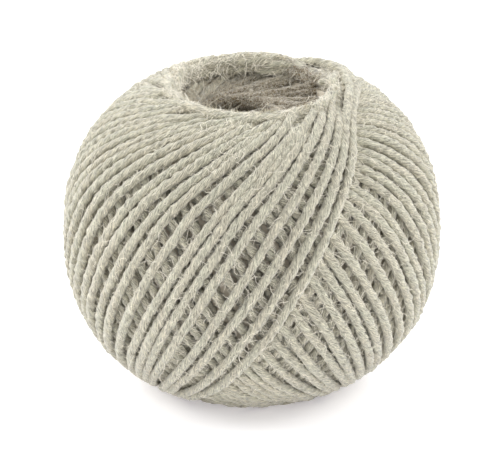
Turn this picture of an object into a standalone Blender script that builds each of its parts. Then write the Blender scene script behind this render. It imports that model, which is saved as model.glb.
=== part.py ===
"""A ball of twine, machine-wound with a hole right through it, standing on its lower end.

The twine goes round and round the ball on a slant. Each turn rises up one side, passes along the
rim of the hole, comes down the other side and passes along the rim below. The newest turns lie on
top, and the last of them is the line where the turns that rise meet those that fall.
Run it with blender --background --python part.py, or from Blender's text editor. Metres, +Z up,
origin in the middle of the flat underneath, -Y is the front.
"""

import math
from itertools import pairwise

import bmesh
import bpy

# The outer form is half a superellipse above the widest place and half of another below it.
RADIUS = 0.0405
UPPER_HEIGHT = 0.0354
UPPER_POWER = 2.4
LOWER_HEIGHT = 0.0370
LOWER_POWER = 2.2
BASE_DEPTH = 0.0332  # from the widest place down to the flat that the ball stands on

# The upper lip stands higher at the back than at the front; the lean fades in above the widest place.
LIP_LEAN = math.tan(math.radians(5))
LEAN_START = 0.012
LEAN_SPAN = 0.020

# How close the turns come to the axis: at the upper rim, half-way down and at the lower rim.
UPPER_RIM = 0.0186
MIDDLE_REACH = 0.0212
LOWER_RIM = 0.0185
LAST_TURN = math.radians(13)  # longitude where the last turn crosses the widest place, from -Y to +X

# The relief: each ridge stands for three or so neighbouring turns, and a step runs along the last.
RIDGES = 24
POINTS_PER_RIDGE = 3
RIDGE_DEPTH = 0.0011
NEW_TURNS_RISE = 0.0011  # how far the newest turns stand above the oldest that show

# The hole: a core that opens on to a sloping ledge at each end, with a steep wall up to the lip.
CORE_RADIUS = 0.0090
CORE_SHIFT = -0.0040  # the core lies a little to the left of the ball's axis
UPPER_MOUTH_RADIUS = 0.0174
UPPER_MOUTH_SHIFT = 0.0008
LOWER_MOUTH_RADIUS = 0.0165
LEDGE_START = 0.80  # share of the way from middle to mouth where the core begins to open
LEDGE_POWER = 2.2
HOLE_ROWS = (0.985, 0.95, 0.91, 0.87, 0.835, 0.80, 0.5)  # shares of the way from middle to mouth

COLUMNS = RIDGES * POINTS_PER_RIDGE
STEP = math.tau / COLUMNS  # longitude between neighbouring points, and a turn's progress between rows
TOP_ROW = COLUMNS / 4  # the row of the upper rim, where a turn has made 90 degrees of progress
LEAST_ROW_GAP = 0.0006
TABLE_STEPS = 2000
TWINE_COLOUR = (0.58, 0.54, 0.44, 1.0)
TWINE_ROUGHNESS = 0.9
SHARP_ANGLE = math.radians(22)


def outer_radius(z):
    """The outer form's radius at a height above the widest place."""
    height, power = (UPPER_HEIGHT, UPPER_POWER) if z > 0 else (LOWER_HEIGHT, LOWER_POWER)
    return RADIUS * (1 - (abs(z) / height) ** power) ** (1 / power)


def distance_to_radius(radius, height, power):
    """How far above or below the widest place the outer form has this radius."""
    return height * (1 - (radius / RADIUS) ** power) ** (1 / power)


UPPER_END = distance_to_radius(UPPER_RIM, UPPER_HEIGHT, UPPER_POWER)
LOWER_END = -distance_to_radius(LOWER_RIM, LOWER_HEIGHT, LOWER_POWER)


def outward(z):
    """The outer form's normal at a height above the widest place, as (away from the axis, up)."""
    height, power = (UPPER_HEIGHT, UPPER_POWER) if z > 0 else (LOWER_HEIGHT, LOWER_POWER)
    away = (outer_radius(z) / RADIUS) ** (power - 1) / RADIUS
    up = math.copysign((abs(z) / height) ** (power - 1) / height, z)
    length = math.hypot(away, up)
    return away / length, up / length


def reach(z):
    """How close to the axis a turn would come if it kept the slant that it has at this height."""
    down = (UPPER_END - z) / (UPPER_END - LOWER_END)
    upper = UPPER_RIM * (1 - down) * (1 - 2 * down)
    middle = 4 * MIDDLE_REACH * down * (1 - down)
    return upper + middle + LOWER_RIM * down * (2 * down - 1)


def rising_half_turn():
    """(height, progress) pairs; progress runs from -90 degrees at the lower rim to 90 at the upper."""
    shares = [0.5 - 0.5 * math.cos(math.pi * step / TABLE_STEPS) for step in range(TABLE_STEPS + 1)]
    heights = [LOWER_END + (UPPER_END - LOWER_END) * share for share in shares]
    progress = [0.0]
    for low, high in pairwise(heights):
        along = math.hypot(high - low, outer_radius(high) - outer_radius(low))
        radius, nearest = outer_radius((low + high) / 2), reach((low + high) / 2)
        slant = nearest / math.sqrt(max(radius**2 - nearest**2, 1e-9))
        progress.append(progress[-1] + along * slant / radius)
    scale = math.pi / progress[-1]
    return [(z, value * scale - math.pi / 2) for z, value in zip(heights, progress)]


def height_at(half_turn, progress):
    """The height where a turn has made this much progress between its two rims."""
    for (low, before), (high, after) in pairwise(half_turn):
        if progress <= after:
            return low + (high - low) * (progress - before) / (after - before)
    return half_turn[-1][0]


def ages(longitude, progress):
    """How much winding, as an angle, was laid after the rising and the falling turns that meet here."""
    rising = (LAST_TURN - longitude + progress) % math.tau
    falling = (LAST_TURN - longitude + math.pi - progress) % math.tau
    return rising, falling


def column_longitude(column):
    """The last turn crosses the widest place half-way between the first two columns."""
    return LAST_TURN + (column - 0.5) * STEP


def lean(z):
    """How much the ball rises towards the back at this height above the widest place, as a slope."""
    share = min(max((z - LEAN_START) / LEAN_SPAN, 0.0), 1.0)
    return LIP_LEAN * share * share * (3 - 2 * share)


def ring_points(radius, z, drops=None, shift=0.0):
    """A ring of points at a height above the widest place, each sunk by its drop into the ball."""
    away, up = outward(z)
    points = []
    for column in range(COLUMNS):
        longitude = column_longitude(column)
        drop = drops[column] if drops else 0.0
        distance = radius - drop * away
        x, y = shift + distance * math.sin(longitude), -distance * math.cos(longitude)
        points.append((x, y, z + BASE_DEPTH - drop * up + lean(z) * y))
    return points


def relief(column, row):
    """How deep a point lies below the outer form: the crests follow the turns that lie on top there."""
    rising, falling = ages(column_longitude(column), row * STEP)
    along = column - row if rising < falling else column + row
    groove = RIDGE_DEPTH if along % POINTS_PER_RIDGE else 0.0
    wear = NEW_TURNS_RISE * min(rising, falling, math.pi) / math.pi
    return (groove + wear) * math.cos(row * STEP) ** 2


def outer_rings():
    """(row, points) of each ring between the flat and the upper rim."""
    half_turn = rising_half_turn()
    rings = []
    for row in range(1 - COLUMNS // 4, COLUMNS // 4):
        z = height_at(half_turn, row * STEP)
        if z < LEAST_ROW_GAP - BASE_DEPTH or outer_radius(z) < UPPER_RIM + LEAST_ROW_GAP:
            continue
        drops = [relief(column, row) for column in range(COLUMNS)]
        rings.append((row, ring_points(outer_radius(z), z, drops)))
    return rings


def hole_ring(share, mouth_radius, mouth_shift, mouth_z):
    """A ring of the hole's wall, at a share of the way from the ball's middle to a mouth."""
    over_ledge = max(share - LEDGE_START, 0.0) / (1 - LEDGE_START)
    flare = 1 - (1 - over_ledge) ** LEDGE_POWER
    radius = CORE_RADIUS + (mouth_radius - CORE_RADIUS) * flare
    shift = CORE_SHIFT + (mouth_shift - CORE_SHIFT) * flare
    return ring_points(radius, mouth_z * share, shift=shift)


def hole_rings():
    """The rings of the hole's wall, from the upper rim down to the inner edge of the flat."""
    upper_mouth = (UPPER_MOUTH_RADIUS, UPPER_MOUTH_SHIFT, UPPER_END)
    lower_mouth = (LOWER_MOUTH_RADIUS, 0.0, -BASE_DEPTH)
    rings = [hole_ring(share, *upper_mouth) for share in (1.0, *HOLE_ROWS, 0.0)]
    return rings + [hole_ring(share, *lower_mouth) for share in (*reversed(HOLE_ROWS), 1.0)]


def join_rings(mesh, lower, upper, middle_row):
    """Join two rings by pairs of triangles, split along whichever turns lie on top between them."""
    for column in range(COLUMNS):
        after = (column + 1) % COLUMNS
        rising, falling = ages(column_longitude(column + 0.5), middle_row * STEP)
        if rising < falling:
            mesh.faces.new((lower[column], lower[after], upper[after]))
            mesh.faces.new((lower[column], upper[after], upper[column]))
        else:
            mesh.faces.new((lower[column], lower[after], upper[column]))
            mesh.faces.new((lower[after], upper[after], upper[column]))


def ball_mesh():
    """Join the rings into one closed skin: up the outside, down through the hole and across the flat."""
    flat_edge = ring_points(outer_radius(-BASE_DEPTH), -BASE_DEPTH)
    rows = [(-TOP_ROW, flat_edge), *outer_rings(), (TOP_ROW, ring_points(UPPER_RIM, UPPER_END))]
    rows += [(TOP_ROW, points) for points in hole_rings()]
    mesh = bmesh.new()
    rings = [(row, [mesh.verts.new(point) for point in points]) for row, points in rows]
    for (row, lower), (next_row, upper) in pairwise([*rings, rings[0]]):
        join_rings(mesh, lower, upper, (row + next_row) / 2)
    data = bpy.data.meshes.new("ball")
    mesh.to_mesh(data)
    mesh.free()
    return data


def twine_material():
    material = bpy.data.materials.new("twine")
    material.use_nodes = True
    shader = material.node_tree.nodes["Principled BSDF"]
    shader.inputs["Base Color"].default_value = TWINE_COLOUR
    shader.inputs["Roughness"].default_value = TWINE_ROUGHNESS
    shader.inputs["Metallic"].default_value = 0.0
    return material


def build():
    for leftover in list(bpy.data.objects):
        bpy.data.objects.remove(leftover)
    data = ball_mesh()
    data.shade_smooth()
    data.set_sharp_from_angle(angle=SHARP_ANGLE)
    data.materials.append(twine_material())
    ball = bpy.data.objects.new("ball", data)
    bpy.context.scene.collection.objects.link(ball)


build()
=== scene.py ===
"""A ball of soft two-ply twine, wound with a hole through it, on a white studio table.

Every turn of the outer layer is modelled as it lies. A turn rises round the ball to the upper rim,
goes along it, comes down the other side and goes along the lower rim, a little further round each
time. A turn's age is how much winding, as an angle, was laid after it. Of the two turns that cross
at a place, the newer lies on top, and each turn dives under the last one where they meet.
"""

import math

import bpy
import numpy as np
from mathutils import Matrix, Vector


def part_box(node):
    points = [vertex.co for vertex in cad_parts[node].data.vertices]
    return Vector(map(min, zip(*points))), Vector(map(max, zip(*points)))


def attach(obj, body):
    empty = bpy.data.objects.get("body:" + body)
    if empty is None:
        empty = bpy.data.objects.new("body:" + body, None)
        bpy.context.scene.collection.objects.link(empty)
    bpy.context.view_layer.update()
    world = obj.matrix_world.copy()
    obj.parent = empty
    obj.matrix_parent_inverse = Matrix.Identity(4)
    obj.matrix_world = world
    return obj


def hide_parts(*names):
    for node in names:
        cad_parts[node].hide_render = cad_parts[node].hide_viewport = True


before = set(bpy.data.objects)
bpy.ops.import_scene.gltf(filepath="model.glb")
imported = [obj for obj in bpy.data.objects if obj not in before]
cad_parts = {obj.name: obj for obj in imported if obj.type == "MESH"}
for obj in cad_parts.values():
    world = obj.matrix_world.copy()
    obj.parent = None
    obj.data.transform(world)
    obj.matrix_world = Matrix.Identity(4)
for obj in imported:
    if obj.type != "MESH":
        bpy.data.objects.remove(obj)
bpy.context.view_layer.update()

ball_low, ball_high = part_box("ball")
WIDTH = ball_high.x - ball_low.x
HEIGHT = ball_high.z - ball_low.z
MM = 0.001
SEED = 11

# The ball's outer form, as in the CAD: half a superellipse above the widest place and half below.
RADIUS = 0.513 * WIDTH  # a little over half: between its ridges the CAD lies under the form
WIDEST_Z = 0.4894 * HEIGHT
UPPER_HEIGHT, UPPER_POWER = 35.4 * MM, 2.4
LOWER_HEIGHT, LOWER_POWER = 37.0 * MM, 2.2

# How close the turns come to the axis: at the upper rim, half-way down and at the lower rim.
UPPER_RIM, MIDDLE_REACH, LOWER_RIM = 18.6 * MM, 21.2 * MM, 19.0 * MM

# The lip: the form rolls over into the hole on a small arc and goes a little way down inside.
LIP_START = 18.4 * MM
LIP_ARC = 2.4 * MM
LIP_END = math.radians(-62)
LIP_WALL = 2.0 * MM
FORM_POINTS, ARC_POINTS, WALL_POINTS = 400, 120, 40  # from the widest place, over the arc, and down
HALF_TURN_POINTS = 2001

# The upper lip stands higher at the back than at the front; the lean fades in above the widest place.
LIP_LEAN = math.tan(math.radians(5))
LEAN_START, LEAN_SPAN = 12 * MM, 20 * MM

# The winding.
TURNS = 61
TWINE = 2.08 * MM  # thickness
LAST_TURN = math.radians(13)  # longitude where the last turn crosses the widest place, from -Y to +X
INNER_LAST_TURN = math.radians(-140)  # the same for the layer under the outer one
STACK = 0.83 * TWINE  # how far the lower of two crossing turns lies under the upper one
OLD_TURNS_DROP = 0.9 * MM  # how far the oldest turns that show have sunk
DIVE = 0.16  # angle over which a turn goes down under the last one
CLIMB = 0.4  # angle over which a turn that leaves a rim goes down under the newer ones
PHASES_PER_TURN = 720  # steps in which a layer is worked out before it is cut evenly
END_SHIFT = 0.75  # the winding ends this share of a turn past the last turn's own longitude
STATIONS = 6  # places on each turn where its distance from the next is chosen afresh
UNEVEN = 0.42  # share of the spacing by which a turn lies off its even place
DRIFT, DRIFT_REACH = 0.3, 4  # and by which it does so with its neighbours, over this many turns
NEWEST_STRAY = (0, 0.3, 0.7)  # how much of that the newest three turns do
CLOSEST = 0.62  # least distance between neighbours, as a share of the spacing
BEND = 0.04 * TWINE  # how far a turn rises over each turn that it crosses
FREE_SPACING = 0.95 * TWINE  # turns that are closer than this have less than full room
CROWDED_DROP = 0.7 * STACK  # how far a turn with no room is pushed down between its neighbours
CROWDED_FADE, RIM_FADE = 0.35, 0.3  # amounts of room over which that comes in, and goes at the rim
WAVE_REACH = 7 * MM  # the twine also wanders a little over this distance
WAVE_DEPTH, WAVE_ASIDE = 0.10 * MM, 0.22 * MM
GOLDEN, SILVER = 0.618034, 0.754878  # steps that spread values evenly between 0 and 1

# Where the turns pass the rims, measured inwards over the lip.
RIM_REACH = (math.radians(38), math.radians(85))  # progress over which a turn moves to its place
RIM_SPREAD = 5.6 * MM  # the older passes lie anywhere within this
NEWEST = 10  # this many last passes lie side by side, the very last outermost
NEWEST_SPREAD = (-3.8 * MM, 3.6 * MM)
LOWER_CROWDING = 0.4  # at the lower rim they are spread by only this share of that
UPPER_LAYERS, LOWER_LAYERS = 0.9, 1.5  # depth of the pile of turns at each rim, in thicknesses

# The last turns stand off from the upper lip behind the place where they touch it.
LAST_PASSES = 4
LAST_PUSH = 0.4 * MM  # how far they are pushed outwards at the rims
LAST_LIFT = 0.4  # how far they lie above the pile at the upper rim, in thicknesses
LIP_GAP = 2.5 * MM  # how far they stand off where the gap is widest
LIP_GAP_REACH = math.radians(63)  # how far round the gap runs
LIP_DIP = 2.3 * MM  # the older turns lie lower there
LIP_SHADE = 14.0 * MM  # and their colour is darkened as if they lay this much deeper: painted shade
SHADE_START, SHADE_SPAN = LIP_START - 1.9 * MM, 0.8 * MM  # from this far out

# The twine itself.
PITCH = 5.8 * MM  # length over which the plies turn once
PLY_RADIUS, PLY_OFFSET = 0.42, 0.08  # shares of the twine's thickness
FIBRE_SLANT = math.tan(math.radians(28))  # of the fibres across the twine
STEP = 0.66 * MM  # between rings of corners
INNER_STEP = 2.4 * STEP  # the same for the layer under the outer one
LEDGE_STEPS = (1.5 * STEP, 3 * STEP)  # and for the turns on the upper and the lower ledge
SIDES = 8
ROUGH = 0.12  # share by which each corner stands in or out
SWELL = 0.07  # share by which it is thicker or thinner
SWELL_REACHES = (11 * MM, 3.1 * MM)  # lengths over which that changes
UNEVEN_TWIST = 0.5  # angle by which the plies are turned too far or not far enough
TWIST_REACH = 20 * MM  # length over which that changes
PRESSED = (0.95, 1.03)  # the twine is pressed a little flat: its height and width, as shares
PAINTED_SHADE_DEPTHS = (1.5 * MM, 11.0 * MM)  # depths between which the twine's colour darkens: painted shade
PIECES = 5  # the outer layer is cut into this many meshes

# The inner layers: their own hole, the core, is narrower, and their top is the ledge inside the lip.
INNER_DEPTH = 1.6 * STACK  # of the layer of turns under the outer one
HEART_DEPTH = 2.7 * STACK  # of the plain body under both
HEART_WALL = 1.2 * TWINE  # how far behind the core's turns it stands
HEART_SILL = 1.6 * TWINE  # how far below the inner edge of the ledge it opens into the core
HEART_BEVEL = (6.0 * MM, 1.0 * MM)  # outwards and up, from there to where the ledge begins
HEART_COLUMNS = 48
HEART_SKIP = 12  # it has a ring at every twelfth point of the form
CORE_RADIUS = 9.0 * MM
CORE_SHIFT = -4.0 * MM  # the core lies a little to the left
LEDGE_TURNS = 44
LEDGE_OUTER = 22.0 * MM  # radius where the ledge begins, out of sight under the lip
LEDGE_OUTER_DROP = 3.2 * MM  # how far below the lip's crest it begins
LEDGE_INNER_DROP = 6.2 * MM  # and how far below it ends at the core
LEDGE_UNEVEN = (0.05, 0.3 * MM)  # how far a turn lies off its even place, as an angle and outwards
LEDGE_PILE = 0.8 * TWINE  # how far the lowest of the turns on the ledge lies under the highest
LEDGE_POINTS, CORE_POINTS = 60, 80
LEDGE_LIGHT = 2.8 * MM  # the ledge's painted shade starts this far below the crest
LEDGE_LIGHT_LEFT = 0.2  # and, on the left where more light falls in, from deeper by this share of x
CORE_EDGE = 2.0 * MM  # the turns bend down into the core over this depth
CORE_PITCH = math.radians(45)  # how steeply they wind down inside it
CORE_DEPTH = 12.0 * MM  # how far down the core the turns are modelled


# ---- small numeric helpers ----


def smoothstep(x):
    """From 0 to 1 as x goes from 0 to 1, starting and ending gently."""
    x = np.clip(x, 0, 1)
    return x * x * (3 - 2 * x)


def wander(distance, reach, seed):
    """Smooth noise between -1 and 1 that changes over about this distance."""
    place = distance / reach
    index = place.astype(int)
    knots = np.random.default_rng(seed).uniform(-1, 1, int(index.max()) + 2)
    share = smoothstep(place - index)
    return knots[index] * (1 - share) + knots[index + 1] * share


def unit(vectors):
    """The vectors scaled to length 1."""
    return vectors / np.linalg.norm(vectors, axis=-1, keepdims=True)


def travelled(points):
    """Distance along a polyline at each of its points."""
    return np.concatenate([[0], np.cumsum(np.linalg.norm(np.diff(points, axis=0), axis=1))])


# ---- the outer form as one curve, from inside the lower rim to inside the upper rim ----


def half_form(height, power):
    """Points and normals, as (radius, height), from the widest place over the lip."""
    end = math.acos((LIP_START / RADIUS) ** (power / 2))
    angle = np.linspace(0, end, FORM_POINTS)
    side = np.stack([np.cos(angle), np.sin(angle)], axis=1) ** (2 / power) * (RADIUS, height)
    side_normals = unit((side / (RADIUS, height)) ** (power - 1) / (RADIUS, height))
    bend = np.linspace(math.atan2(*side_normals[-1]), LIP_END, ARC_POINTS)[1:]
    arc_normals = np.stack([np.sin(bend), np.cos(bend)], axis=1)
    arc = side[-1] + LIP_ARC * (arc_normals - side_normals[-1])
    down = np.array([-math.cos(LIP_END), math.sin(LIP_END)])
    wall = arc[-1] + down * np.linspace(0, LIP_WALL, WALL_POINTS)[1:, None]
    wall_normals = np.repeat(arc_normals[-1:], len(wall), axis=0)
    return np.concatenate([side, arc, wall]), np.concatenate([side_normals, arc_normals, wall_normals])


upper, upper_normals = half_form(UPPER_HEIGHT, UPPER_POWER)
lower, lower_normals = half_form(LOWER_HEIGHT, LOWER_POWER)
form = np.concatenate([(lower * (1, -1))[:0:-1], upper])
form_normals = np.concatenate([(lower_normals * (1, -1))[:0:-1], upper_normals])
form_at = travelled(form) - travelled(lower)[-1]  # distance along the form from the widest place
CREST_Z = WIDEST_Z + upper[:, 1].max()


def on_form(longitude, along, depth):
    """Points at these longitudes, this far along the form and under its surface, with the normals."""
    radius, z = (np.interp(along, form_at, form[:, k]) for k in (0, 1))
    away, up = (np.interp(along, form_at, form_normals[:, k]) for k in (0, 1))
    away, up = away / np.hypot(away, up), up / np.hypot(away, up)
    sine, cosine = np.sin(longitude), np.cos(longitude)
    reach = radius - depth * away
    lean = -LIP_LEAN * smoothstep((z - LEAN_START) / LEAN_SPAN) * reach * cosine
    points = np.stack([reach * sine, -reach * cosine, WIDEST_Z + z - depth * up + lean], axis=1)
    return points, np.stack([away * sine, -away * cosine, up], axis=1)


def half_turn():
    """(progress, distance along the form) from the lower rim at -90 degrees to the upper at 90."""
    first = -np.interp(-LOWER_RIM, -lower[:FORM_POINTS, 0], travelled(lower)[:FORM_POINTS])
    last = np.interp(-UPPER_RIM, -upper[:FORM_POINTS, 0], travelled(upper)[:FORM_POINTS])
    along = first + (last - first) * (0.5 - 0.5 * np.cos(np.linspace(0, math.pi, HALF_TURN_POINTS)))
    middle = (along[1:] + along[:-1]) / 2
    radius, z = (np.interp(middle, form_at, form[:, k]) for k in (0, 1))
    bottom, top = np.interp([first, last], form_at, form[:, 1])
    down = (top - z) / (top - bottom)
    reach = UPPER_RIM * (1 - down) * (1 - 2 * down) + 4 * MIDDLE_REACH * down * (1 - down)
    reach += LOWER_RIM * down * (2 * down - 1)
    gain = np.diff(along) * reach / (radius * np.sqrt(np.maximum(radius**2 - reach**2, 1e-9)))
    progress = np.concatenate([[0], np.cumsum(gain)])
    return progress / progress[-1] * math.pi - math.pi / 2, along


turn_progress, turn_along = half_turn()


# ---- the outer layer: one length of twine, as angles and depths along its whole path ----


def uneven_ages(seed):
    """For each station, the ages at which successive turns pass it, from the newest back.

    A turn strays on its own and with its neighbours, and the last turn of all keeps to its place.
    """
    draw = np.random.default_rng(seed)
    even = np.arange(TURNS + 3.0)
    tables = []
    for _ in range(STATIONS):
        nudge = draw.uniform(-UNEVEN, UNEVEN, len(even))
        nudge += DRIFT * wander(even, DRIFT_REACH, int(draw.integers(1 << 30)))
        nudge[:3] *= NEWEST_STRAY
        places = even + nudge
        for _ in range(2):  # the gaps are widened, then scaled so that the turns still fill the circle
            gaps = np.maximum(np.diff(places), CLOSEST)
            gaps[3:] *= (TURNS - places[3]) / gaps[3:-2].sum()
            places = np.concatenate([places[:1], places[0] + np.cumsum(gaps)])
        tables.append(places * math.tau / TURNS)
    return tables


def ages_at(phase, tables):
    """The age at each phase, blended from the tables of the stations on either side."""
    turns_left = TURNS - phase / math.tau
    round_turn = phase / math.tau % 1 * STATIONS
    station = round_turn.astype(int) % STATIONS
    share = smoothstep(round_turn - np.floor(round_turn))
    age = np.zeros_like(phase)
    for k, table in enumerate(tables):
        weight = np.where(station == k, 1 - share, 0)
        weight += np.where((station + 1) % STATIONS == k, share, 0)
        age += weight * np.interp(turns_left, np.arange(len(table)), table)
    return age


def in_gap(angle):
    """From 0 up to 1 and back to 0, over the angle that the gap behind the lip takes up."""
    return np.sin(math.pi * np.clip(angle / LIP_GAP_REACH, 0, 1)) ** 2


def rim_place(number, since_rim, rising):
    """How far inwards over the lip each pass of a rim lies. Even numbers are below and odd above."""
    passes_left = 2 * TURNS - number
    last = passes_left < LAST_PASSES
    side_by_side = NEWEST_SPREAD[0] + (NEWEST_SPREAD[1] - NEWEST_SPREAD[0]) * passes_left / NEWEST
    side_by_side = side_by_side - np.where(last, LAST_PUSH, 0)
    side_by_side = side_by_side * np.where(number % 2 == 1, 1, LOWER_CROWDING)
    inwards = np.where(passes_left < NEWEST, side_by_side, RIM_SPREAD * (number * GOLDEN % 1))
    return inwards - np.where(last & ~rising, LIP_GAP * in_gap(since_rim), 0)


def crossing_depth(age, other, since_rim, progress):
    """How deep a turn lies where another crosses it: newer turns lie over older ones."""
    on_top = age < other
    newest = np.minimum(np.where(on_top, age, other), math.pi)
    drop = OLD_TURNS_DROP * newest / math.pi * np.cos(progress) ** 2
    dive = (STACK - drop) * np.exp((other - math.tau) / DIVE)
    below = STACK * smoothstep(since_rim / CLIMB)
    return TWINE / 2 + drop + np.where(on_top, dive, below)


def crowding(phase, radius):
    """The room that a turn has here, from 0 to 1, and how deep some turns are pushed for want of it."""
    spacing = math.tau / TURNS * np.sqrt(np.maximum(radius**2 - UPPER_RIM**2, 0))
    room = np.clip(spacing / FREE_SPACING, 0, 1)
    chance = np.floor(phase / math.tau) * GOLDEN % 1
    pushed = CROWDED_DROP * smoothstep((chance - room) / CROWDED_FADE) * smoothstep(room / RIM_FADE)
    return room, pushed


def winding(phase, tables, last_turn):
    """Longitude, distance along the form, depth, depth for the painted shade and which are on top, at
    each phase.

    The phase grows by a full circle each turn, from 0 at the lower rim where the oldest turn starts.
    """
    age = ages_at(phase, tables)
    since_rim = phase % math.pi
    rising = phase % math.tau < math.pi
    progress = np.where(rising, since_rim - math.pi / 2, math.pi / 2 - since_rim)
    end = last_turn + END_SHIFT * math.tau / TURNS
    longitude = end - age + phase - math.pi / 2

    # The passes of the rims are numbered in turn, even ones below and odd ones above.
    number = np.floor((phase + math.pi / 2) / math.pi).astype(int)
    above, last = number % 2 == 1, 2 * TURNS - number < LAST_PASSES
    near_rim = smoothstep((np.abs(progress) - RIM_REACH[0]) / (RIM_REACH[1] - RIM_REACH[0]))
    along = np.interp(progress, turn_progress, turn_along)
    along += np.sign(progress) * rim_place(number, since_rim, rising) * near_rim
    radius = np.interp(along, form_at, form[:, 0])

    # The other turn is the one that crosses this one here.
    other = (age - 2 * since_rim) % math.tau
    on_top = age < other
    depth = crossing_depth(age, other, since_rim, progress)
    layer = np.where(above, UPPER_LAYERS, LOWER_LAYERS) * (number * SILVER % 1) ** 2
    depth += np.where(last & above, -LAST_LIFT, layer) * TWINE * near_rim
    behind = (longitude - last_turn - math.pi / 2) % math.tau
    in_lee = np.where(~last & (progress > 0), in_gap(behind), 0) * near_rim
    depth += LIP_DIP * in_lee
    room, pushed = crowding(phase, radius)
    depth += pushed - np.where(on_top, BEND, 0) * np.cos(TURNS * other) * room
    # Painted shade: the older turns in the lee of the last ones are darkened beyond their depth.
    shade = depth + LIP_SHADE * in_lee * smoothstep((radius - SHADE_START) / SHADE_SPAN)
    return longitude, along, depth, shade, on_top


def wound_layer(last_turn, under, step, seed):
    """A whole layer at an even step: points, normals, distances, depths for the painted shade, which
    are on top.
    """
    phase = np.linspace(0, TURNS * math.tau, TURNS * PHASES_PER_TURN)
    tables = uneven_ages(seed)
    points, _ = on_form(*winding(phase, tables, last_turn)[:3])
    distance = travelled(points)
    even = np.arange(0, distance[-1], step)
    phase = np.interp(even, distance, phase)
    longitude, along, depth, shade, on_top = winding(phase, tables, last_turn)
    depth += under + WAVE_DEPTH * wander(even, WAVE_REACH, seed + 1)
    longitude += WAVE_ASIDE / RADIUS * wander(even, WAVE_REACH, seed + 2)
    points, normals = on_form(longitude, along, depth)
    return points, normals, even, shade + under, on_top


def stretches(flags):
    """Start and end indices of each unbroken run of true flags."""
    edges = np.flatnonzero(np.diff(np.concatenate([[False], flags, [False]]).astype(int)))
    return edges.reshape(-1, 2)


# ---- the ledge and the core's wall ----


def core_shift(radius):
    """How far aside the ledge lies at this radius: not at all outside, and with the core inside."""
    return CORE_SHIFT * smoothstep((LEDGE_OUTER - radius) / (LEDGE_OUTER - CORE_RADIUS))


def ledge_turn(number, upwards):
    """A turn of the inner layers: in over the ledge, along the rim of the core, and down into it."""
    sweep = math.acos(CORE_RADIUS / LEDGE_OUTER)
    angle = np.linspace(-sweep, 0, LEDGE_POINTS)
    radius = CORE_RADIUS / np.cos(angle)
    share = (radius - CORE_RADIUS) / (LEDGE_OUTER - CORE_RADIUS)
    drop = LEDGE_INNER_DROP + (LEDGE_OUTER_DROP - LEDGE_INNER_DROP) * share
    inside = np.linspace(0, CORE_DEPTH, CORE_POINTS)[1:]
    angle = np.concatenate([angle, inside / math.tan(CORE_PITCH) / CORE_RADIUS])
    radius = np.concatenate([radius, np.full(len(inside), CORE_RADIUS)])
    drop = np.concatenate([drop, LEDGE_INNER_DROP + inside])
    bend = np.concatenate([np.zeros(LEDGE_POINTS), math.pi / 2 * smoothstep(inside / CORE_EDGE)])
    jitter = np.random.default_rng(SEED * 100 + number).uniform(-1, 1, 2)
    longitude = math.tau * number / LEDGE_TURNS + angle + LEDGE_UNEVEN[0] * jitter[0]
    radius = radius + LEDGE_UNEVEN[1] * jitter[1]
    sine, cosine = np.sin(longitude), np.cos(longitude)
    shift = core_shift(radius)
    normal_away, normal_up = -np.sin(bend), np.cos(bend)
    depth = TWINE / 2 + LEDGE_PILE * (number * GOLDEN % 1)
    reach = radius - depth * normal_away
    z = CREST_Z - drop - depth * normal_up - LIP_LEAN * reach * cosine
    points = np.stack([shift + reach * sine, -reach * cosine, z], axis=1)
    normals = np.stack([normal_away * sine, -normal_away * cosine, normal_up], axis=1)
    if not upwards:
        flip = np.array([1, -1, -1])  # half a turn about a line across the middle
        points = (points - (0, 0, WIDEST_Z)) * flip + (0, 0, WIDEST_Z)
        normals = normals * flip
    return points, normals


def evenly(points, normals, step):
    """The same path at an even step: points, normals and distances."""
    distance = travelled(points)
    even = np.arange(0, distance[-1], step)
    columns = [np.interp(even, distance, column) for column in (*points.T, *normals.T)]
    return np.stack(columns[:3], axis=1), unit(np.stack(columns[3:], axis=1)), even


# ---- twine as a mesh ----


def section(thickness):
    """Radius of the two-ply section at each of its corners, from the crest of one ply round."""
    angle = np.arange(SIDES) * math.tau / SIDES
    offset, radius = PLY_OFFSET * thickness, PLY_RADIUS * thickness
    return offset * np.abs(np.cos(angle)) + np.sqrt(radius**2 - (offset * np.sin(angle)) ** 2)


def sweep_twine(points, normals, distance, depth, seed):
    """Rings of corners round a path, turning with the plies.

    Returned with each corner's place among the fibres and how much painted shade it gets, from 0 on the
    outside.
    """
    tangent = unit(np.gradient(points, axis=0))
    outward = unit(normals - tangent * np.sum(normals * tangent, axis=1, keepdims=True))
    sideways = np.cross(tangent, outward)
    swell = sum(SWELL * wander(distance, reach, seed + k) for k, reach in enumerate(SWELL_REACHES))
    twist = -math.tau * distance / PITCH + UNEVEN_TWIST * wander(distance, TWIST_REACH, seed + 2)
    angle = twist[:, None] + np.arange(SIDES) * math.tau / SIDES
    radius = section(TWINE) * (1 + swell[:, None])
    radius = radius * (1 + ROUGH * np.random.default_rng(seed + 3).uniform(-1, 1, radius.shape))
    lift, side = radius * np.cos(angle), radius * np.sin(angle)
    corners = points[:, None] + PRESSED[0] * lift[..., None] * outward[:, None]
    corners += PRESSED[1] * side[..., None] * sideways[:, None]
    corners[..., 2] = np.maximum(corners[..., 2], 0)
    slant = angle + FIBRE_SLANT * distance[:, None] / (TWINE / 2)
    along = np.repeat(distance[:, None], SIDES, axis=1)
    fibres = np.stack([radius * np.cos(slant), radius * np.sin(slant), along], axis=2)
    # Painted shade: the deeper a corner lies, the darker its colour, down the sides of a turn too.
    painted_shade = smoothstep((depth[:, None] - lift - PAINTED_SHADE_DEPTHS[0]) / (PAINTED_SHADE_DEPTHS[1] - PAINTED_SHADE_DEPTHS[0]))
    return corners, fibres, painted_shade


STRIP_EDGE = 0.04  # margin on each side of a row, as a share of its height


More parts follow.
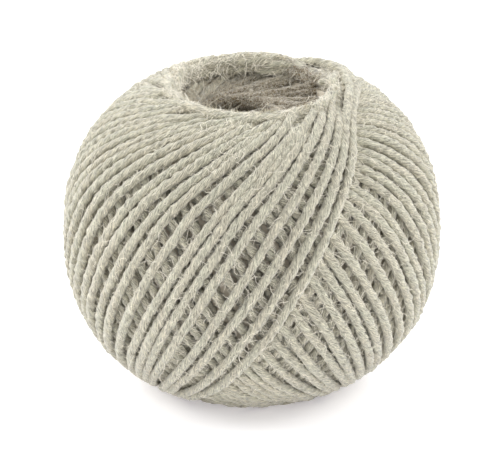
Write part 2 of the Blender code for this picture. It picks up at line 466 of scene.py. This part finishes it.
def strip_layout(rings):
    """UV corners of each quad of a tube: its length cut into equal rows, laid one above another."""
    rows = math.ceil(math.sqrt(rings * STEP / (math.pi * TWINE)))
    in_row = math.ceil(rings / rows)
    ring, side = np.meshgrid(np.arange(rings), np.arange(SIDES), indexing="ij")
    left, right = ring % in_row / in_row, (ring % in_row + 1) / in_row
    inset = STRIP_EDGE + (1 - 2 * STRIP_EDGE) * np.stack([side, side + 1]) / SIDES
    low, high = (ring // in_row + inset) / rows
    corners = [(left, low), (left, high), (right, high), (right, low)]
    return np.stack([np.stack(corner, axis=2) for corner in corners], axis=2).reshape(-1, 2)


def twine_mesh(name, strands, material):
    """One object of several lengths of twine, each as swept."""
    vertices, fibres, painted_shade = (np.concatenate([strand[k].reshape(-1, size) for strand in strands])
                                 for k, size in ((0, 3), (1, 3), (2, 1)))
    quads, caps, start = [], [], 0
    for strand in strands:
        rings = len(strand[0])
        ring, side = np.meshgrid(np.arange(rings - 1), np.arange(SIDES), indexing="ij")
        a = start + ring * SIDES + side
        b = start + ring * SIDES + (side + 1) % SIDES
        quads.append(np.stack([a, b, b + SIDES, a + SIDES], axis=2).reshape(-1, 4))
        caps.append((start + np.arange(SIDES)[::-1]).tolist())
        caps.append((start + (rings - 1) * SIDES + np.arange(SIDES)).tolist())
        start += rings * SIDES
    quads = np.concatenate(quads)
    mesh = bpy.data.meshes.new(name)
    mesh.from_pydata(vertices.tolist(), [], quads.tolist() + caps)
    in_mm = mesh.attributes.new("fibres", "FLOAT_VECTOR", "POINT")
    in_mm.data.foreach_set("vector", (fibres / MM).ravel())
    # Each corner's painted shade, for the material.
    painted_shade_attribute = mesh.attributes.new("painted_shade", "FLOAT", "POINT")
    painted_shade_attribute.data.foreach_set("value", painted_shade.ravel())
    layout = np.concatenate([strip_layout(len(quads) // SIDES), np.zeros((len(caps) * SIDES, 2))])
    mesh.uv_layers.new(name="OFBake").uv.foreach_set("vector", layout.ravel())
    mesh.shade_smooth()
    return show(name, mesh, material)


def show(name, mesh, material):
    """Put a mesh in the scene as a piece of the ball."""
    mesh.materials.append(material)
    piece = bpy.data.objects.new(name, mesh)
    bpy.context.scene.collection.objects.link(piece)
    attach(piece, "root")
    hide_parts("ball")
    return piece


# ---- materials ----


PATCHES = ((0.35, (0.52, 0.485, 0.376)), (0.65, (0.50, 0.485, 0.376)))  # (value of the noise, colour)
PATCH_SCALE, PATCH_STRETCH = 0.4, (1, 1, 0.12)  # per millimetre, and longest along the fibres
STREAK_SCALE, STREAK_STRETCH = 5.5, (1, 1, 0.13)
STREAK_RANGE = (0.3, 0.7)  # values of the noise in the darkest and the palest streaks
STREAK_SHADE = (0.24, 1.56)  # what the colour is multiplied by in them
PAINTED_SHADE_COLOUR = (0.43, 0.35, 0.27)  # and by deep between the turns, as painted shade
STRAY = (0.72, 0.68, 0.58)
STRAY_SCALES = (0.9, 1.5)
STRAY_SHOWS = (0.15, 0.85)  # how much the stray fibres show on the outside and deep between the turns
STRAY_DEPTH = 0.35  # amount of painted shade at which they show most
BUMP_HEIGHT = 0.15 * MM


def noise(tree, coordinates, scale, stretch, detail, distortion=0.0):
    """A noise texture over these coordinates, stretched by a scale for each axis."""
    mapping = tree.nodes.new("ShaderNodeMapping")
    mapping.inputs["Scale"].default_value = [scale * share for share in stretch]
    tree.links.new(coordinates, mapping.inputs["Vector"])
    texture = tree.nodes.new("ShaderNodeTexNoise")
    texture.inputs["Scale"].default_value = 1.0
    texture.inputs["Detail"].default_value = detail
    texture.inputs["Distortion"].default_value = distortion
    tree.links.new(mapping.outputs["Vector"], texture.inputs["Vector"])
    return texture.outputs["Fac"]


def spread(tree, value, source, target):
    """The value carried from one range to another."""
    node = tree.nodes.new("ShaderNodeMapRange")
    node.inputs["From Min"].default_value, node.inputs["From Max"].default_value = source
    node.inputs["To Min"].default_value, node.inputs["To Max"].default_value = target
    tree.links.new(value, node.inputs["Value"])
    return node.outputs["Result"]


def feed(tree, socket, value):
    """Link an output to a socket, or set the socket to a number."""
    if isinstance(value, (int, float)):
        socket.default_value = value
    else:
        tree.links.new(value, socket)


def calculate(tree, operation, first, second=0.0):
    """A maths node over one output and either another output or a number."""
    node = tree.nodes.new("ShaderNodeMath")
    node.operation = operation
    tree.links.new(first, node.inputs[0])
    feed(tree, node.inputs[1], second)
    return node.outputs["Value"]


def scaled(tree, vector, factor):
    """A vector or a colour times a factor, which is an output or a number."""
    node = tree.nodes.new("ShaderNodeVectorMath")
    node.operation = "SCALE"
    tree.links.new(vector, node.inputs[0])
    feed(tree, node.inputs["Scale"], factor)
    return node.outputs["Vector"]


def blend(tree, mode, share, first, colour):
    """An output mixed with a plain colour."""
    node = tree.nodes.new("ShaderNodeMix")
    node.data_type = "RGBA"
    node.blend_type = mode
    tree.links.new(share, node.inputs["Factor"])
    tree.links.new(first, node.inputs["A"])
    node.inputs["B"].default_value = (*colour, 1)
    return node.outputs["Result"]


def attribute(tree, name):
    """The outputs of a value that the mesh carries at its points."""
    node = tree.nodes.new("ShaderNodeAttribute")
    node.attribute_name = name
    return node.outputs


def stray_lines(tree, coordinates, scale):
    """Thin curling lines, where a noise passes through its middle value."""
    height = noise(tree, coordinates, scale, (1, 1, 1), 2.0, 1.0)
    away = calculate(tree, "ABSOLUTE", calculate(tree, "SUBTRACT", height, 0.5))
    return spread(tree, away, (0.0, 0.04), (1.0, 0.0))


def stray_fibres(tree, painted_shade):
    """How much stray fibres show: a little on the outside and more between the turns."""
    in_mm = scaled(tree, tree.nodes.new("ShaderNodeTexCoord").outputs["Object"], 1 / MM)
    wide, fine = (stray_lines(tree, in_mm, scale) for scale in STRAY_SCALES)
    lines = calculate(tree, "MAXIMUM", wide, fine)
    return calculate(tree, "MULTIPLY", lines, spread(tree, painted_shade, (0.0, STRAY_DEPTH), STRAY_SHOWS))


def jute_colour(tree, fibres, streaks):
    """Greige in faint patches, with streaks along the fibres."""
    patches = noise(tree, fibres, PATCH_SCALE, PATCH_STRETCH, 2.0)
    tint = tree.nodes.new("ShaderNodeValToRGB")
    for element, (position, colour) in zip(tint.color_ramp.elements, PATCHES):
        element.position = position
        element.color = (*colour, 1)
    tree.links.new(patches, tint.inputs["Fac"])
    return scaled(tree, tint.outputs["Color"], spread(tree, streaks, STREAK_RANGE, STREAK_SHADE))


def twine_material():
    """Pale matte jute with painted shade deep between the turns, and stray fibres over a fine bump."""
    material = bpy.data.materials.new("twine")
    material.use_nodes = True
    tree = material.node_tree
    shader = tree.nodes["Principled BSDF"]
    shader.inputs["Roughness"].default_value = 0.9
    shader.inputs["Sheen Weight"].default_value = 0.45
    shader.inputs["Sheen Roughness"].default_value = 0.5

    fibres = attribute(tree, "fibres")["Vector"]
    painted_shade = attribute(tree, "painted_shade")["Fac"]
    streaks = noise(tree, fibres, STREAK_SCALE, STREAK_STRETCH, 4.0)
    strays = stray_fibres(tree, painted_shade)
    # Painted shade: the colour is darkened deep between the turns.
    colour = blend(tree, "MULTIPLY", painted_shade, jute_colour(tree, fibres, streaks), PAINTED_SHADE_COLOUR)
    tree.links.new(blend(tree, "MIX", strays, colour, STRAY), shader.inputs["Base Color"])

    bump = tree.nodes.new("ShaderNodeBump")
    bump.inputs["Strength"].default_value = 0.8
    bump.inputs["Distance"].default_value = BUMP_HEIGHT
    tree.links.new(calculate(tree, "ADD", streaks, strays), bump.inputs["Height"])
    tree.links.new(bump.outputs["Normal"], shader.inputs["Normal"])
    return material


def plain_material(name, colour, roughness):
    """One colour and roughness all over."""
    material = bpy.data.materials.new(name)
    material.use_nodes = True
    shader = material.node_tree.nodes["Principled BSDF"]
    shader.inputs["Base Color"].default_value = (*colour, 1)
    shader.inputs["Roughness"].default_value = roughness
    return material


# ---- the heart: the older layers under the outer one ----


def heart_rings():
    """(radius, height) of each of the heart's rings: up under the outer form, then down the core."""
    half_length = min(travelled(half)[FORM_POINTS - 1] for half in (upper, lower))
    outside = np.flatnonzero(np.abs(form_at) < half_length)[::HEART_SKIP]
    under = form[outside] - HEART_DEPTH * form_normals[outside] + (0, WIDEST_Z)
    wall = CORE_RADIUS + HEART_WALL
    top = CREST_Z - LEDGE_INNER_DROP - HEART_SILL
    bottom = 2 * WIDEST_Z - top
    out, up = HEART_BEVEL
    core = [(wall + out, top + up), (wall, top), (wall, bottom), (wall + out, bottom - up)]
    return [*under.tolist(), *core]


def heart(material):
    """A closed body under the outer layer, round the ledge and down the core."""
    rings = heart_rings()
    vertices = []
    for radius, z in rings:
        shift = float(core_shift(radius))
        for column in range(HEART_COLUMNS):
            longitude = math.tau * column / HEART_COLUMNS
            vertices.append((shift + radius * math.sin(longitude), -radius * math.cos(longitude), z))
    faces = []
    for ring in range(len(rings)):
        here, above = ring * HEART_COLUMNS, (ring + 1) % len(rings) * HEART_COLUMNS
        for column in range(HEART_COLUMNS):
            after = (column + 1) % HEART_COLUMNS
            faces.append((here + column, here + after, above + after, above + column))
    mesh = bpy.data.meshes.new("heart")
    mesh.from_pydata(vertices, [], faces)
    mesh.shade_smooth()
    return show("heart", mesh, material)


# ---- fuzz ----


HAIR_ROOT = 0.40 * TWINE  # how far from the middle of the twine a hair starts
HAIR_CURL = 1.6  # angle by which it turns along its length
HAIR_WAVE, HAIR_WAVES = 0.5, 9  # angle by which it also sways to and fro, and how often, as an angle
HAIR_FALL = 0.9  # how steeply it falls at its tip, as a share of how it rises at its root
HAIR_TAPER = 0.6  # share of its width that it loses towards its tip
LEAST_HEIGHT = 0.1 * MM  # of a hair over the floor


def hair_paths(points, normals, count, fan, length, lift, segments, draw):
    """Paths, by segment and hair, that leave the twine, bow over it and come back down.

    They start within an angle, the fan, of the normals. Lift is how steeply the steepest rises.
    Returned with the normal where each starts.
    """
    pick = draw.integers(1, len(points) - 1, count)
    tangent = unit(points[pick + 1] - points[pick - 1])
    normal = unit(normals[pick] - tangent * np.sum(normals[pick] * tangent, axis=1, keepdims=True))
    across = np.cross(tangent, normal)
    around = fan * draw.uniform(-1, 1, (count, 1))
    out = np.cos(around) * normal + np.sin(around) * across
    root = points[pick] + HAIR_ROOT * out
    heading = draw.uniform(-math.pi, math.pi, (count, 1))
    heading = heading - 0.5 * np.sin(2 * heading)  # more of them run along the twine than across
    rise = lift * draw.uniform(0.1, 1, (count, 1))
    curl = draw.normal(size=(count, 1))
    long = length * np.exp(0.5 * draw.normal(size=(count, 1)))
    share = np.linspace(0, 1, segments + 1)[:, None, None]
    wave = np.sin(share * HAIR_WAVES + 6 * curl)  # six times the curl, so that no two are in step
    turning = heading + HAIR_CURL * curl * share + HAIR_WAVE * wave
    course = np.cos(turning) * tangent + np.sin(turning) * across
    course = course + rise * (1 - (1 + HAIR_FALL) * share) * normal
    path = np.empty_like(course)
    path[0] = root
    path[1:] = root + np.cumsum(course[1:] + course[:-1], axis=0) * long / segments / 2
    path[..., 2] = np.maximum(path[..., 2], LEAST_HEIGHT)
    return path, normal


def fuzz(name, points, normals, count, fan, length, lift, width, segments, material, seed):
    """One object of many fine hairs, each a flat ribbon that narrows towards its tip."""
    draw = np.random.default_rng(seed)
    path, normal = hair_paths(points, normals, count, fan, length, lift, segments, draw)
    direction = unit(np.gradient(path, axis=0))
    side = unit(np.cross(direction, np.broadcast_to(normal, direction.shape)))
    taper = 1 - HAIR_TAPER * np.linspace(0, 1, segments + 1)[:, None, None]
    half = 0.5 * width * taper * draw.uniform(0.6, 1.4, (1, count, 1))
    edges = np.stack([path - half * side, path + half * side], axis=2)
    vertices = edges.transpose(1, 0, 2, 3).reshape(-1, 3)
    hair, segment = np.meshgrid(np.arange(count), np.arange(segments), indexing="ij")
    first = (hair * (segments + 1) + segment) * 2
    faces = np.stack([first, first + 1, first + 3, first + 2], axis=2).reshape(-1, 4)
    mesh = bpy.data.meshes.new(name)
    mesh.from_pydata(vertices.tolist(), [], faces.tolist())
    mesh.shade_smooth()
    return show(name, mesh, material)


# ---- the parts of the ball ----


LEAST_RINGS = 5  # shorter stretches of the inner turns are left out
LEDGE_SHADE = 4.5  # the ledge's painted shade grows this many times as fast as its depth
RIM_DEPTH = 7.0 * MM  # how far below the crest the hairs of the lip still grow
LEE_SHARE = 0.35  # this share of the gap behind the lip stays clear of them, to each side of its middle
HEART_COLOUR = (0.62, 0.555, 0.44)
HAIRS = (
    # name, colour, roughness
    ("hair", (0.74, 0.70, 0.575), 0.7),
    ("bright_hair", (0.86, 0.81, 0.69), 0.5),
    ("dull_hair", (0.56, 0.50, 0.39), 0.7),
    # dark fibres, which also stand for the fine shadows between fibres: partly painted shade
    ("dark_hair", (0.36, 0.33, 0.25), 0.8),
)


def outer_layer(material):
    """The outer layer. Returned: its points, its normals and which of them lie on top."""
    *path, on_top = wound_layer(LAST_TURN, 0, STEP, SEED)
    whole = sweep_twine(*path, SEED + 10)
    cuts = np.linspace(0, len(on_top) - 1, PIECES + 1).astype(int)
    for number, (first, last) in enumerate(zip(cuts, cuts[1:]), start=1):
        twine_mesh(f"turns_{number}", [[part[first:last + 1] for part in whole]], material)
    return *path[:2], on_top


def inner_layer(material):
    """The layer of turns under the outer one, wherever they lie on top in it."""
    *path, on_top = wound_layer(INNER_LAST_TURN, INNER_DEPTH, INNER_STEP, SEED + 30)
    strands = []
    for first, last in stretches(on_top):
        if last - first >= LEAST_RINGS:
            strands.append(sweep_twine(*(part[first:last] for part in path), SEED + 40))
    twine_mesh("inner_turns", strands, material)


def ledge(name, upwards, material):
    """The turns on the ledge inside one of the lips. Returned: their points and normals."""
    crest = CREST_Z if upwards else 2 * WIDEST_Z - CREST_Z
    step = LEDGE_STEPS[0 if upwards else 1]
    paths, strands = [], []
    for number in range(LEDGE_TURNS):
        points, normals, distance = evenly(*ledge_turn(number, upwards), step)
        sunk = np.abs(points[:, 2] - crest)
        # Painted shade: the ledge's colour darkens with depth below the crest, less on the left.
        in_shade = LEDGE_SHADE * (sunk - LEDGE_LIGHT + LEDGE_LIGHT_LEFT * np.minimum(points[:, 0], 0))
        strands.append(sweep_twine(points, normals, distance + number, in_shade, SEED + 50 + number))
        paths.append((points, normals))
    twine_mesh(name, strands, material)
    return [np.concatenate(part) for part in zip(*paths)]


def over_lip(points, on_top):
    """Which points the hairs of the lip grow from. The painted shade behind the lip stays clear of
    them.
    """
    near = (points[:, 2] > CREST_Z - RIM_DEPTH) & (np.hypot(points[:, 0], points[:, 1]) < LIP_START)
    past_last = np.arctan2(points[:, 0], -points[:, 1]) - LAST_TURN - math.pi / 2
    clear = np.abs(past_last - LIP_GAP_REACH / 2) > LEE_SHARE * LIP_GAP_REACH
    return on_top & near & clear


def all_fuzz(points, normals, on_top, ledge_path):
    """The hairs of the outer layer, the gaps, the ledge and the lip."""
    hairs = {name: plain_material(name, colour, roughness) for name, colour, roughness in HAIRS}
    whole = points, normals
    top = points[on_top], normals[on_top]
    gaps = points[~on_top], normals[~on_top]
    at_lip = over_lip(points, on_top)
    lip = points[at_lip], normals[at_lip]
    settings = (
        # name, path, count, fan, length, lift, width, segments, hair, seed
        ("pale_fuzz", top, 32000, 2.0, 1.1 * MM, 0.3, 0.12 * MM, 2, "hair", 5),
        ("gap_fuzz", gaps, 31000, 1.6, 1.4 * MM, 0.6, 0.13 * MM, 2, "bright_hair", 15),
        # dark hairs all over: partly painted shade between the fibres
        ("dark_fuzz", whole, 12000, 1.3, 0.8 * MM, 0.15, 0.09 * MM, 2, "dark_hair", 6),
        ("long_fuzz", top, 3000, 1.5, 2.6 * MM, 0.3, 0.11 * MM, 6, "bright_hair", 7),
        ("ledge_fuzz", ledge_path, 9000, 1.3, 2.2 * MM, 0.35, 0.14 * MM, 3, "dull_hair", 8),
        ("ledge_dark", ledge_path, 5000, 1.2, 1.4 * MM, 0.3, 0.12 * MM, 2, "dark_hair", 28),
        ("ledge_wisps", ledge_path, 420, 1.0, 3.0 * MM, 1.3, 0.12 * MM, 6, "bright_hair", 18),
        ("rim_fuzz", lip, 4000, 1.5, 1.8 * MM, 0.5, 0.12 * MM, 3, "bright_hair", 9),
    )
    for name, path, *shape, colour, seed in settings:
        fuzz(name, *path, *shape, hairs[colour], SEED + seed)


# ---- the studio ----


FLOOR_REACH = 3.0
FLOOR_COLOUR = (0.88, 0.88, 0.88)
FLOOR_GLOW = (0.285, 0.275, 0.30)  # it glows a little, so that it stays white under the soft light
LAMP_SIZE = 0.5
LAMPS = (
    # name, place, power in watts
    ("left", (-0.64, 0.1, 0.45), 4.9),
    ("right", (0.62, 0.1, 0.50), 4.3),
    ("front", (0.1, -0.75, 0.3), 1.1),
    ("back", (0.0, 0.7, 0.45), 2.9),
)
WORLD_LIGHT = 0.57
LENS, SENSOR = 300, 36  # in millimetres
VIEW_WIDTH = 0.1064  # how wide the picture is, measured at the ball
ELEVATION = math.radians(18.4)  # how far above the level the camera looks from
AIM = Vector((-0.4 * MM, 0, WIDEST_Z - 0.2 * MM))


def floor():
    """A sheet of white paper that reaches far past the picture."""
    mesh = bpy.data.meshes.new("floor")
    corners = [(x * FLOOR_REACH, y * FLOOR_REACH, 0) for x, y in ((-1, -1), (1, -1), (1, 1), (-1, 1))]
    mesh.from_pydata(corners, [], [(0, 1, 2, 3)])
    paper = plain_material("floor", FLOOR_COLOUR, 0.8)
    shader = paper.node_tree.nodes["Principled BSDF"]
    shader.inputs["Emission Color"].default_value = (*FLOOR_GLOW, 1)
    shader.inputs["Emission Strength"].default_value = 1.0
    mesh.materials.append(paper)
    plane = bpy.data.objects.new("floor", mesh)
    bpy.context.scene.collection.objects.link(plane)


def lamp(name, place, power):
    """A square lamp that faces the middle of the ball."""
    data = bpy.data.lights.new(name, "AREA")
    data.size = LAMP_SIZE
    data.energy = power
    light = bpy.data.objects.new(name, data)
    light.location = place
    towards = Vector((0, 0, HEIGHT / 2)) - Vector(place)
    light.rotation_euler = towards.to_track_quat("-Z", "Y").to_euler()
    bpy.context.scene.collection.objects.link(light)


def surroundings():
    """Even white light from all round."""
    world = bpy.data.worlds.new("studio")
    world.use_nodes = True
    background = world.node_tree.nodes["Background"]
    background.inputs["Color"].default_value = (1, 1, 1, 1)
    background.inputs["Strength"].default_value = WORLD_LIGHT
    bpy.context.scene.world = world
    bpy.context.scene.view_settings.view_transform = "Standard"


def camera():
    """A long lens, looking down a little on the front of the ball."""
    data = bpy.data.cameras.new("camera")
    data.lens = LENS
    data.sensor_width = SENSOR
    distance = VIEW_WIDTH * data.lens / data.sensor_width
    cam = bpy.data.objects.new("camera", data)
    cam.location = AIM + distance * Vector((0, -math.cos(ELEVATION), math.sin(ELEVATION)))
    cam.rotation_euler = (AIM - cam.location).to_track_quat("-Z", "Y").to_euler()
    bpy.context.scene.collection.objects.link(cam)
    bpy.context.scene.camera = cam


# ---- build ----


twine = twine_material()
points, normals, on_top = outer_layer(twine)
inner_layer(twine)
ledge_path = ledge("ledge_upper", True, twine)
ledge("ledge_lower", False, twine)
heart(plain_material("heart", HEART_COLOUR, 0.95))
all_fuzz(points, normals, on_top, ledge_path)
floor()
for name, place, power in LAMPS:
    lamp(name, place, power)
surroundings()
camera()
